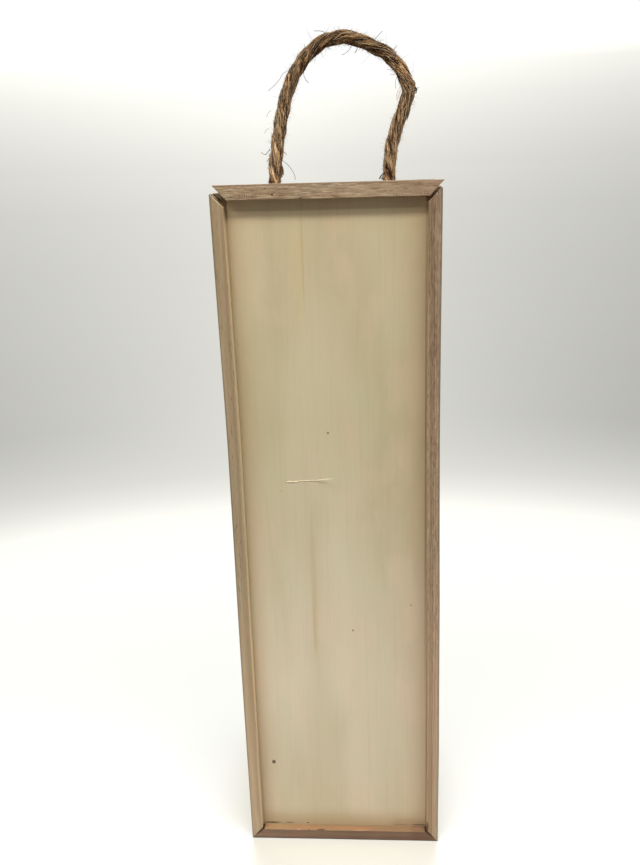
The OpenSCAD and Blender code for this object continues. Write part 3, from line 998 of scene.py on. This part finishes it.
# Plywood: the sliding lid and the back, three plies of pale veneer
plainPanel = {
    "body": "box", "slot": "plywood", "edge": 0.2,
    "pale": (200, 187, 155), "deep": (188, 174, 140), "pink": (204, 182, 152),
    "green": (190, 183, 146), "grain": (168, 150, 116), "shine": (212, 200, 170),
    "core": (150, 120, 84), "shade": (178, 164, 130), "shift": (0, 0, 0),
}
lipCrack = (78, 52, 30)
panels = {
    "slidingLid": {
        **plainPanel, "node": "lid_panel", "body": "lid",
        # Painted light and shade by height: the rail's shadow at the top, and lighter and darker stretches
        # below it.
        "along": [(0, (0.93, 0.91, 0.95)), (55, (0.96, 0.97, 1.05)), (100, (1.0, 1.0, 1.09)),
                  (165, (0.93, 0.94, 0.98)), (245, (0.85, 0.855, 0.82)), (300, (0.91, 0.905, 0.88)),
                  (336, (0.95, 0.92, 0.89)), (345, (0.905, 0.835, 0.785)), (350, (0.89, 0.78, 0.72))],
        # Painted shade: darker towards both sides and the foot, dark at the top where the lid shows in the
        # mitre gaps, and thin dark lines in the corners beside the sides.
        "bands": [
            (0, -46.3, 16, 13, 0, (182, 154, 114), 0.36), (0, -46.3, 3.4, 3, 0, (150, 122, 84), 0.3),
            (0, 46.3, 22, 20, 0, (182, 150, 116), 0.39), (2, 6.2, 14, 13, 0, (160, 136, 96), 0.66),
            (2, 357, 10.4, 0.4, 0, (96, 72, 48), 0.85), (0, -46.1, 0.9, 0.5, 0, (140, 112, 78), 0.25),
            (0, 46.2, 0.9, 0.5, 0, (112, 86, 60), 0.45),
        ],
        # Marks at x -46.3 to -47 and at 47 near the top are painted shadow under the rail and in the mitre
        # gaps; those at x 45.3 and 46 are a painted contact shadow and a painted lit face of the right side;
        # the others are spots, streaks and cracks of the veneer.
        "marks": {-45.2: [
            (-11.9, 325, 1.4, 56, (168, 140, 98), 0.4), (-14.6, 318, 10, 70, (206, 182, 134), 0.22),
            (-2, 140, 24, 150, (214, 200, 170), 0.22), (-12.3, 156, 3.4, 108, (176, 150, 106), 0.28),
            (-12.9, 133, 1.6, 44, (172, 148, 106), 0.3), (-46.3, 347, 1.2, 14, (84, 62, 38), 0.5),
            (-47, 350.8, 4, 7, (108, 82, 52), 0.95), (47, 350.4, 5, 7, (112, 76, 38), 0.95),
            (-2.5, 239.7, 1.1, 1.4, (84, 66, 44), 0.95), (7.5, 130.5, 2.6, 2.6, (206, 194, 164), 0.5),
            (7.5, 130.5, 1.5, 1.7, (112, 96, 68), 0.85), (38.1, 145.3, 1.4, 1.3, (120, 104, 78), 0.75),
            (-38.5, 47.8, 4.6, 5, (214, 200, 170), 0.5), (-38.5, 47.8, 3, 3.6, (88, 68, 42), 0.95),
            (-41.2, 6.8, 12.4, 1.2, lipCrack, 0.9), (-31.2, 6.8, 7, 1, lipCrack, 0.6),
            (-21, 6.9, 4.4, 2.2, (206, 178, 140), 0.5), (-21, 6.9, 2.8, 1.2, (112, 66, 44), 0.9),
            (42.2, 6.8, 11, 1.2, lipCrack, 0.9), (32, 6.8, 12, 0.9, lipCrack, 0.5),
            (-11.5, 348.6, 1.6, 1.8, (150, 124, 100), 0.35), (36, 8, 26, 8, (150, 122, 92), 0.35),
            (45.3, 225, 1, 330, (124, 96, 64), 0.6), (46, 225, 0.9, 330, (178, 150, 114), 0.7),
            (-26.6, 210.4, 3, 0.7, (214, 200, 162), 0.5), (-26.6, 209.7, 3, 0.7, (152, 134, 98), 0.5),
        ]},
    },
    "backBoard": {
        **plainPanel, "node": "back_panel",
        "shift": (310, 0, 90),
    },
}


def plywoodFinish(name, look, middle, half):
    f = newFinish(name)
    where = f.place()
    board = f.place((0, 0, 0), look["shift"])
    broad = f.noise(board, (0.03, 0.03, 0.008))
    patches = f.noise(board, (0.06, 0.06, 0.03), 3.0)
    grain = f.noise(board, (0.7, 0.7, 0.014), 4.0, 0.6)
    lines = f.noise(board, (3.2, 3.2, 0.06), 3.0, 0.55)
    flecks = f.noise(board, (1.6, 1.6, 0.3))
    colour = f.mix(f.rise(broad, 0.36, 0.64), look["deep"], look["pale"])
    # The first layer darkens the veneer towards the right: a painted shade of light that falls off to that
    # side.
    colour = f.lay(colour, look, [
        (f.part(where, 0), -20, 60, 0.55, "shade"), (patches, 0.5, 0.68, 0.45, "pink"),
        (patches, 0.5, 0.3, 0.35, "green"), (grain, 0.5, 0.74, 0.18, "grain"),
        (lines, 0.52, 0.76, 0.13, "shine"), (lines, 0.46, 0.26, 0.12, "grain"),
        (flecks, 0.64, 0.76, 0.2, "grain"),
    ])
    colour = bandsAndMarks(f, where, colour, look)
    if "along" in look:
        colour = paintedShadeByHeight(f, where, colour, look["along"])
    # On the edges the middle ply shows its end grain.
    edge = f.rise(abs(f.part(f.node("TexCoord", output=1), 1)), 0.8, 0.4)
    ply = f.rise(abs(f.part(where, 1) - middle), half / 3 + 0.06, half / 3 - 0.06)
    rough = f.noise(board, (1.5, 5.0, 1.5), 3.0, 0.7)
    core = f.mix(rough, look["core"], look["grain"])
    colour = f.mix(edge * (0.25 + ply * 0.7), colour, core)
    height = lines * 0.04 + grain * 0.03 - edge * ply * rough * 0.25
    f.surface(colour, 0.66 - lines * 0.12, height, {"Specular IOR Level": 0.35})
    return f


for name, values in panels.items():
    bm = boardFrom(values["node"])
    easeEdges(bm, values["edge"])
    low, high = (corner.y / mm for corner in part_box(values["node"]))
    finish = plywoodFinish(name + "Veneer", values, (low + high) / 2, (high - low) / 2)
    placeBoard(name, bm, values, finish)
print("panels made")

# A sliver of veneer that has lifted from the lid
splinter = {
    "from": (-23.9, 214.3),  # mm, in x and z
    "to": (-0.2, 217.4),
    "places": (0, 0.2, 0.26, 0.53, 0.62, 0.73, 0.83, 1),  # shares of its length, for the values below
    "wide": (0.54, 0.54, 0.32, 0.36, 0.24, 0.46, 0.56, 0.24),  # mm
    "thick": (0.22, 0.22, 0.12, 0.14, 0.1, 0.12, 0.12, 0.06),  # mm
    "lift": (0.06, 0.06, 0.04, 0.08, 0.3, 1.0, 2.0, 4.2),  # mm
    "sag": (0, 0.62, 0.38, 0.93, 1.2, 0.9, 0.75, 0),  # mm
    "outside": 0.35,  # share of its width on the outer side, to each side of the middle
    "steps": 25,
}


def makeSplinter(values, face):
    bm = bmesh.new()
    (x0, z0), (x1, z1) = values["from"], values["to"]
    corners = [bm.verts.new((x0, face + dy, z0 + dz)) for dy, dz in ((0, 1), (-1, 1), (-1, 0), (0, 0))]
    section = bm.faces.new(corners)
    rings = [list(section.verts)]
    for i in range(values["steps"]):
        made = bmesh.ops.extrude_face_region(bm, geom=[section], use_keep_orig=i == 0)
        section = next(g for g in made["geom"] if isinstance(g, bmesh.types.BMFace))
        rings.append(list(section.verts))
    outside = values["outside"]
    for i, ring in enumerate(rings):
        share = i / values["steps"]
        wide, thick, lift, sag = (np.interp(share, values["places"], values[key])
                                  for key in ("wide", "thick", "lift", "sag"))
        x, z = x0 + (x1 - x0) * share, z0 + (z1 - z0) * share - sag
        corners = sorted(ring, key=lambda v: (round(v.co.z, 4), v.co.y))
        for v, (dy, dz) in zip(corners, ((-thick, -outside), (0, -0.5), (-thick, outside), (0, 0.5))):
            v.co = (x, face - lift + dy, z + dz * wide)
    for v in bm.verts:
        v.co *= mm
    bmesh.ops.recalc_face_normals(bm, faces=bm.faces)
    return newMesh("lidSplinter", bm)


def plainFinish(name, shade, other, rough, metal=0.0):
    f = newFinish(name)
    speckle, scratches = f.noise(f.place(), (1.6, 1.6, 1.6), 3.0), f.noise(f.place(), (7.0, 7.0, 7.0))
    colour = f.mix(f.rise(speckle, 0.4, 0.66), shade, other)
    f.surface(colour, scratches * 0.3 + rough, scratches * 0.02, {"Metallic": metal})
    return f


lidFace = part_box("lid_panel")[0].y / mm
sliver = plainFinish("sliver", (226, 213, 178), (210, 192, 152), 0.5)
placePiece("lidSplinter", makeSplinter(splinter, lidFace), "lid", sliver, smooth=False)

# Brads through the corners and into the rail
brad = {
    "head": 1.1,  # mm, its radius
    "profile": [(0, -0.09), (0.62, -0.085), (0.92, -0.05), (1.06, 0.06), (1.1, 0.25), (1.04, 0.5),
                (0.66, 0.6), (0.6, 0.75)],  # mm across and in, from the middle of the head
    "shank": 0.6,
    "point": 1.4,
    "length": 16,  # mm, of those in the corners
    "sides": 20,
}


def addBrad(bm, values, length, matrix):
    outline = [*values["profile"], (values["shank"], length - values["point"]), (0, length)]
    made = [bm.verts.new((0, x * mm, z * mm)) for x, z in outline]
    edges = [bm.edges.new(pair) for pair in zip(made[:-1], made[1:])]
    bmesh.ops.spin(bm, geom=[*made, *edges], axis=(0, 0, 1), cent=(0, 0, 0), steps=values["sides"],
                   angle=2 * math.pi, use_merge=True)
    bmesh.ops.remove_doubles(bm, verts=[v for v in bm.verts if not v.tag], dist=1e-6)
    new = [v for v in bm.verts if not v.tag]
    bmesh.ops.transform(bm, matrix=matrix, verts=new)
    for v in new:
        v.tag = True


def makeBrads(name, body, node, length, places):
    bm = bmesh.new()
    for place, turn in places:
        addBrad(bm, brad, length, Matrix.Translation(place) @ turn)
    bmesh.ops.recalc_face_normals(bm, faces=bm.faces)
    placePiece(name, newMesh(name, bm), body, steelFinish, (node,))


def bradRow(low, high, count):
    # The middles of a row of heads between the ends of the box that holds them.
    return np.linspace(low + brad["head"] * mm, high - brad["head"] * mm, count)


steelFinish = plainFinish("bradSteel", (190, 186, 178), (142, 132, 118), 0.28, 0.85)
low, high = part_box("corner_pins")
makeBrads("cornerBrads", "box", "corner_pins", brad["length"], [
    ((x + bentBy(boards[side], z / mm) * mm, y, z), turned(angle, "Y"))
    for x, angle, side in ((low.x, 90, "leftSide"), (high.x, -90, "rightSide"))
    for z in bradRow(low.z, high.z, 2) for y in bradRow(low.y, high.y, 3)])
low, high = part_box("rail_pins")
makeBrads("railBrads", "lid", "rail_pins", (high.y - low.y) / mm, [
    ((x, high.y, (low.z + high.z) / 2), turned(90, "X")) for x in bradRow(low.x, high.x, 3)])
print("brads made")

# Floor and world: a pale sweep that is white round the foot and greyer further off
studio = {
    "radius": 60,  # metres
    "under": 0.0002,  # metres below the foot
    "keep": 0.1,  # share of the floor's own light near the foot, where the rest takes light and shadow
    "fadeToOwn": (0.3, 0.62),  # metres, over which it becomes all of it
    "behind": (0.02, 0.09, 0.7),  # metres behind the middle, over which more of the light is the floor's own
    "level": 1.6,  # how brightly the lamps light the floor, where 1 shows a colour as it is
    "gloss": (0.13, 0.35),  # share of reflection and its roughness
    "footShadeTint": (0.97, 0.945, 0.885, 1),  # painted shadow and reflection tint of the floor close to the foot
    "foot": [((0.085, 0.05), (-0.052, -0.03), (0.07, 0.03)),  # where that is, beside it and just ahead of it:
             ((0.054, 0.05), (-0.048, -0.052), (-0.09, -0.056))],  # metres across, from the front and back
    "footSides": (0.85, 7),  # how much of that there is, and how fast it grows to the left
    "nearBounce": (152, 147, 136),  # what the floor gives back to the object, near its foot and further off
    "farBounce": (112, 111, 108),
    "bounceFade": (0.08, 0.35),  # metres
    "floor": [(0.4, 256), (0.46, 254), (0.52, 238), (0.58, 229), (0.66, 227), (0.8, 229), (1.2, 226),
              (3.0, 227), (8.0, 231), (60.0, 238)],  # metres from the foot, and the grey there
    "crowd": 0.6,  # metres, within which half of the ramp of these greys lies
    "oval": 0.8,  # the white round the foot is wider than deep by this much
    "sky": [(0.0, 238), (0.022, 245), (0.045, 253), (0.068, 262), (0.098, 278), (0.13, 330)],
    # height of the line of sight, and the grey there
    "warmth": (1.003, 1, 0.972),  # of the greys, in red, green and blue
    "fade": 0.67,  # by how much the sweep darkens to the side of its brightest direction
    "fadeFrom": (0.41, 0.87),  # metres from the foot, over which it does so
    "brightest": -7.2,  # degrees, to the right of straight ahead
    "skyLight": (0.1, 0.1, 0.098, 1),
    "lamps": {  # two long lamps that lie across in front and above, with a size and metres away, and suns
        "highLamp": {"power": 1990, "elevation": 61.6, "azimuth": 4, "away": 10, "size": (20, 1.3)},
        "lowLamp": {"power": 380, "elevation": 49, "azimuth": -3, "away": 10, "size": (20, 0.9)},
        "leftLamp": {"power": 0.35, "elevation": 4, "azimuth": -68, "spread": 34},
        "rightLamp": {"power": 0.5, "elevation": 4, "azimuth": 70, "spread": 34},
        "sideLamp": {"power": 0.4, "elevation": 50, "azimuth": 110, "spread": 70},
        "backLamp": {"power": 1.2, "elevation": 30, "azimuth": 180, "spread": 60},
    },
}


def sweepShade(f, values, key, along, sight):
    # The greys of the sweep along a distance or height, darker to the sides of its brightest direction.
    def spaced(at):  # distances crowd towards the near end
        return at / values["sky"][-1][0] if key == "sky" else at / (at + values["crowd"])

    stops = [(spaced(at), tone([grey * share for share in values["warmth"]])) for at, grey in values[key]]
    shade = f.node("ValToRGB", {"stops": stops}, {0: spaced(along)})
    turn = math.radians(values["brightest"])
    aside = abs(f.vector("DOT_PRODUCT", sight, (math.cos(turn), -math.sin(turn), 0), 1))
    fade = aside * values["fade"]
    if key == "floor":
        fade = fade * f.rise(along, *values["fadeFrom"])
    left = 1 - fade
    shade = f.times(shade, f.node("CombineXYZ", inputs={0: left, 1: left, 2: left}))
    return f.mix(1.0, shade, (1, 1, 1, 1), "DARKEN")  # no brighter than white, or it eats thin hairs


def seenDirectly(f):
    # 1 for what the camera sees, also in a reflection or through glass.
    rays = [f.node("LightPath", output=k) for k in (0, 3, 6)]
    return f.node("Math", {"operation": "ADD", "use_clamp": True}, {0: rays[0] + rays[1], 1: rays[2]})


def paintedFootShade(f, ground, values):
    # 1 where the floor gets a painted shadow beside the foot of the box, and a painted reflection just ahead
    # of it.
    x, y = f.part(ground, 0), f.part(ground, 1)
    beside, ahead = (f.rise(abs(x), *across) * f.rise(y, *front) * f.rise(y, *back)
                     for across, front, back in values["foot"])
    share, slope = values["footSides"]
    return beside * (share - x * slope) + ahead


def makeFloor(values):
    bm = bmesh.new()
    bmesh.ops.create_circle(bm, cap_ends=True, segments=96, radius=values["radius"])
    bmesh.ops.translate(bm, vec=(0, 0, -values["under"]), verts=bm.verts)
    floor = newObject("floor", newMesh("floor", bm))
    floor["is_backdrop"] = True
    f = newFinish("floorSweep")
    floor.data.materials.append(f.owner)
    ground = f.place(scale=1)
    flat = f.vector("MULTIPLY", ground, (1, 1, 0))
    reach = f.length(f.vector("MULTIPLY", flat, (values["oval"], 1, 1)))
    seen = sweepShade(f, values, "floor", reach, f.vector("NORMALIZE", flat, (0, 0, 0)))
    # Painted shadow beside the foot and painted reflection of the base ahead of it.
    seen = f.mix(paintedFootShade(f, ground, values), seen, f.times(seen, values["footShadeTint"]))
    level = 1 / values["level"]
    lit = f.node("BsdfDiffuse", inputs={"Color": f.times(seen, (level, level, level, 1))})
    glow = f.node("Emission", inputs={"Color": seen, "Strength": 1.0})
    share, rough = values["gloss"]
    shine = f.node("BsdfAnisotropic", inputs={"Color": (1, 1, 1, 1), "Roughness": rough})
    lit = f.node("MixShader", inputs={0: share, 1: lit, 2: shine})
    own = f.rise(reach, *values["fadeToOwn"]) * (1 - values["keep"]) + values["keep"]
    start, end, most = values["behind"]
    own = own + (1 - own) * f.rise(f.part(ground, 1), start, end) * most
    visible = f.node("MixShader", inputs={0: own, 1: lit, 2: glow})
    given = f.mix(f.rise(reach, *values["bounceFade"]), values["nearBounce"], values["farBounce"])
    bounce = f.node("BsdfDiffuse", inputs={"Color": given})
    whole = f.node("MixShader", inputs={0: seenDirectly(f), 1: bounce, 2: visible})
    f.feed(f.tree.nodes["Material Output"].inputs["Surface"], whole)


def makeWorld(values):
    scene.world = bpy.data.worlds.new("studio")
    f = Finish(scene.world)
    sight = f.node("TexCoord", output=0)
    seen = sweepShade(f, values, "sky", f.part(sight, 2), sight)
    f.feed(f.tree.nodes["Background"].inputs["Color"], f.mix(seenDirectly(f), values["skyLight"], seen))


def makeLamp(name, values):
    # A lamp that shines at the middle of the box. The azimuth is in degrees to the right of the front.
    data = bpy.data.lights.new(name, "AREA" if "size" in values else "SUN")
    data.energy = values["power"]
    if "size" in values:
        data.shape, (data.size, data.size_y) = "RECTANGLE", values["size"]
    else:
        data.angle = math.radians(values["spread"])
    azimuth, elevation = math.radians(values["azimuth"]), math.radians(values["elevation"])
    towards = Vector((math.sin(azimuth) * math.cos(elevation), -math.cos(azimuth) * math.cos(elevation),
                      math.sin(elevation)))
    lamp = newObject(name, data)
    lamp.location = towards * values.get("away", 1) + Vector((0, 0, (cadLow[2] + cadHigh[2]) / 2))
    lamp.rotation_mode = "QUATERNION"
    lamp.rotation_quaternion = towards.to_track_quat("Z", "Y")


makeFloor(studio)
makeWorld(studio)
for name, values in studio["lamps"].items():
    makeLamp(name, values)
print("studio made")

low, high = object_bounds()
